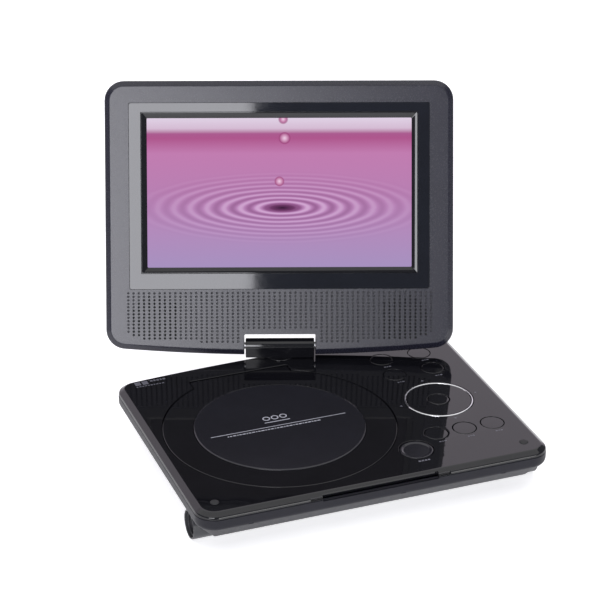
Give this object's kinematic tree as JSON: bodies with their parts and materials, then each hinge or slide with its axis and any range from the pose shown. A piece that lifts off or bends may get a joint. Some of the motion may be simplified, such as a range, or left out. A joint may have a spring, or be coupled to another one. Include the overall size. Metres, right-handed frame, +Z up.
{
  "type": "portable dvd player",
  "caption": "Portable DVD player: low base with a top-loading disc well and round buttons, and a widescreen lid that tilts and swivels on a rear post.",
  "frame": {"origin": "middle of the base in plan, on the plane it rests on", "axes": "+X to the user's right, +Y to the hinge side at the back, +Z up"},
  "size_m": [0.2184, 0.2487, 0.1761],
  "materials": {
    "housing": "fine textured dark grey plastic",
    "gloss_cover": "mirror-polished black plastic",
    "feet": "soft black rubber",
    "screws": "blackened steel",
    "bumpers": "grey rubber pads",
    "battery_sleeve": "dark grey plastic tube",
    "battery_ends": "smooth dark end plugs",
    "battery_cells": "shrink-wrapped lithium cells",
    "contacts": "plated contact discs",
    "boards": "green solder mask",
    "chips": "black moulded packages",
    "jacks": "black moulded sockets",
    "well": "dark moulded disc well",
    "chassis": "stamped steel plate",
    "motors": "drawn steel cans",
    "shafts": "ground steel",
    "hub": "black disc hub",
    "sled": "black moulded sled",
    "lens": "clear laser lens",
    "door_panel": "satin dark insert",
    "latch": "natural acetal",
    "open_button": "dark button with a bright edge",
    "gloss_keys": "polished black keys",
    "bright_trim": "bright plated metal",
    "side_controls": "black moulded controls",
    "barrel": "polished black hinge cover",
    "lid_shell": "fine textured dark grey plastic",
    "bezel": "polished blue-black bezel",
    "screen_rim": "polished black rim",
    "picture": null,
    "backlight": "white light guide",
    "speakers": "paper cones in steel baskets",
    "speaker_cloth": "black acoustic cloth"
  },
  "bodies": {
    "base": {"base_bottom": "housing", "base_top": "gloss_cover", "base_feet": "feet", "base_screws": "screws", "lid_bumpers": "bumpers", "battery_tube": "battery_sleeve", "battery_caps": "battery_ends", "battery_cells": "battery_cells", "battery_contacts": "contacts", "main_board": "boards", "board_chips": "chips", "button_board": "boards", "tact_switches": "chips", "audio_jacks": "jacks", "dc_jack": "jacks", "disc_tray": "well", "drive_chassis": "chassis", "chassis_grommets": "feet", "spindle_motor": "motors", "guide_rods": "shafts", "sled_motor": "motors"},
    "hub": {"spindle_hub": "hub"},
    "sled": {"laser_sled": "sled", "laser_lens": "lens"},
    "screw": {"lead_screw": "shafts"},
    "door": {"disc_door": "gloss_cover", "door_panel": "door_panel"},
    "latch": {"latch_slider": "latch"},
    "open_key": {"open_button": "open_button"},
    "pad_key": {"pad": "gloss_keys", "pad_ring": "bright_trim"},
    "ok_key": {"ok_button": "gloss_keys"},
    "key_1": {"button_1": "gloss_keys"},
    "key_2": {"button_2": "gloss_keys"},
    "key_3": {"button_3": "gloss_keys"},
    "key_4": {"button_4": "gloss_keys"},
    "key_5": {"button_5": "gloss_keys"},
    "key_6": {"button_6": "gloss_keys"},
    "key_7": {"button_7": "gloss_keys"},
    "wheel": {"volume_wheel": "side_controls"},
    "power": {"power_slider": "side_controls"},
    "swivel": {"swivel_post": "bright_trim", "swivel_washer": "shafts", "swivel_nut": "shafts", "hinge_barrel": "barrel"},
    "lid": {"tilt_brackets": "shafts", "lid_front": "lid_shell", "lid_back": "lid_shell", "lid_screws": "screws", "screen_bezel": "bezel", "screen_rim": "screen_rim", "lcd_panel": "picture", "lcd_backlight": "backlight", "lid_board": "boards", "speakers": "speakers", "speaker_cloths": "speaker_cloth"}
  },
  "joints": [
    {"name": "disc_spin", "type": "hinge", "parent": "base", "child": "hub", "pos_m": [-0.0295, -0.0038, 0.0202], "axis": [0, 0, 1], "continuous": true},
    {"name": "laser_travel", "type": "slide", "parent": "base", "child": "sled", "axis": [0, 1, 0], "range_m": [0, 0.034]},
    {"name": "lead_screw_turn", "type": "hinge", "parent": "base", "child": "screw", "pos_m": [-0.0035, 0.0202, 0.0115], "axis": [0, 1, 0], "range_deg": [0, 4080]},
    {"name": "disc_door_hinge", "type": "hinge", "parent": "base", "child": "door", "pos_m": [-0.0295, 0.0602, 0.0237], "axis": [-1, 0, 0], "range_deg": [0, 75]},
    {"name": "open_press", "type": "slide", "parent": "base", "child": "open_key", "axis": [0, 0, 1], "range_m": [-0.0012, 0], "stiffness_N_per_m": 300, "springref_m": 0.001},
    {"name": "latch_slide", "type": "slide", "parent": "base", "child": "latch", "axis": [0.7698, -0.6383, 0], "range_m": [0, 0.0012]},
    {"name": "pad_press", "type": "slide", "parent": "base", "child": "pad_key", "axis": [0, 0, 1], "range_m": [-0.0005, 0], "stiffness_N_per_m": 400, "springref_m": 0.0005},
    {"name": "ok_press", "type": "slide", "parent": "base", "child": "ok_key", "axis": [0, 0, 1], "range_m": [-0.0005, 0], "stiffness_N_per_m": 300, "springref_m": 0.0005},
    {"name": "key_1_press", "type": "slide", "parent": "base", "child": "key_1", "axis": [0, 0, 1], "range_m": [-0.0005, 0], "stiffness_N_per_m": 300, "springref_m": 0.0005},
    {"name": "key_2_press", "type": "slide", "parent": "base", "child": "key_2", "axis": [0, 0, 1], "range_m": [-0.0005, 0], "stiffness_N_per_m": 300, "springref_m": 0.0005},
    {"name": "key_3_press", "type": "slide", "parent": "base", "child": "key_3", "axis": [0, 0, 1], "range_m": [-0.0005, 0], "stiffness_N_per_m": 300, "springref_m": 0.0005},
    {"name": "key_4_press", "type": "slide", "parent": "base", "child": "key_4", "axis": [0, 0, 1], "range_m": [-0.0005, 0], "stiffness_N_per_m": 300, "springref_m": 0.0005},
    {"name": "key_5_press", "type": "slide", "parent": "base", "child": "key_5", "axis": [0, 0, 1], "range_m": [-0.0005, 0], "stiffness_N_per_m": 300, "springref_m": 0.0005},
    {"name": "key_6_press", "type": "slide", "parent": "base", "child": "key_6", "axis": [0, 0, 1], "range_m": [-0.0005, 0], "stiffness_N_per_m": 300, "springref_m": 0.0005},
    {"name": "key_7_press", "type": "slide", "parent": "base", "child": "key_7", "axis": [0, 0, 1], "range_m": [-0.0005, 0], "stiffness_N_per_m": 300, "springref_m": 0.0005},
    {"name": "volume_turn", "type": "hinge", "parent": "base", "child": "wheel", "pos_m": [0.0952, 0.008, 0.0177], "axis": [0, 0, 1], "range_deg": [-135, 135]},
    {"name": "power_slide", "type": "slide", "parent": "base", "child": "power", "axis": [0, 1, 0], "range_m": [0, 0.003]},
    {"name": "screen_swivel", "type": "hinge", "parent": "base", "child": "swivel", "pos_m": [0, 0.075, 0.0257], "axis": [0, 0, 1], "range_deg": [-160, 20]},
    {"name": "screen_tilt", "type": "hinge", "parent": "swivel", "child": "lid", "pos_m": [0, 0.075, 0.0321], "axis": [-0.9397, 0.342, 0], "range_deg": [-113.2, 66.8]}
  ],
  "couplings": [
    {"joint": "lead_screw_turn", "follows": "laser_travel", "rad_per_m": 2094.4},
    {"joint": "latch_slide", "follows": "open_press", "ratio": -1}
  ]
}
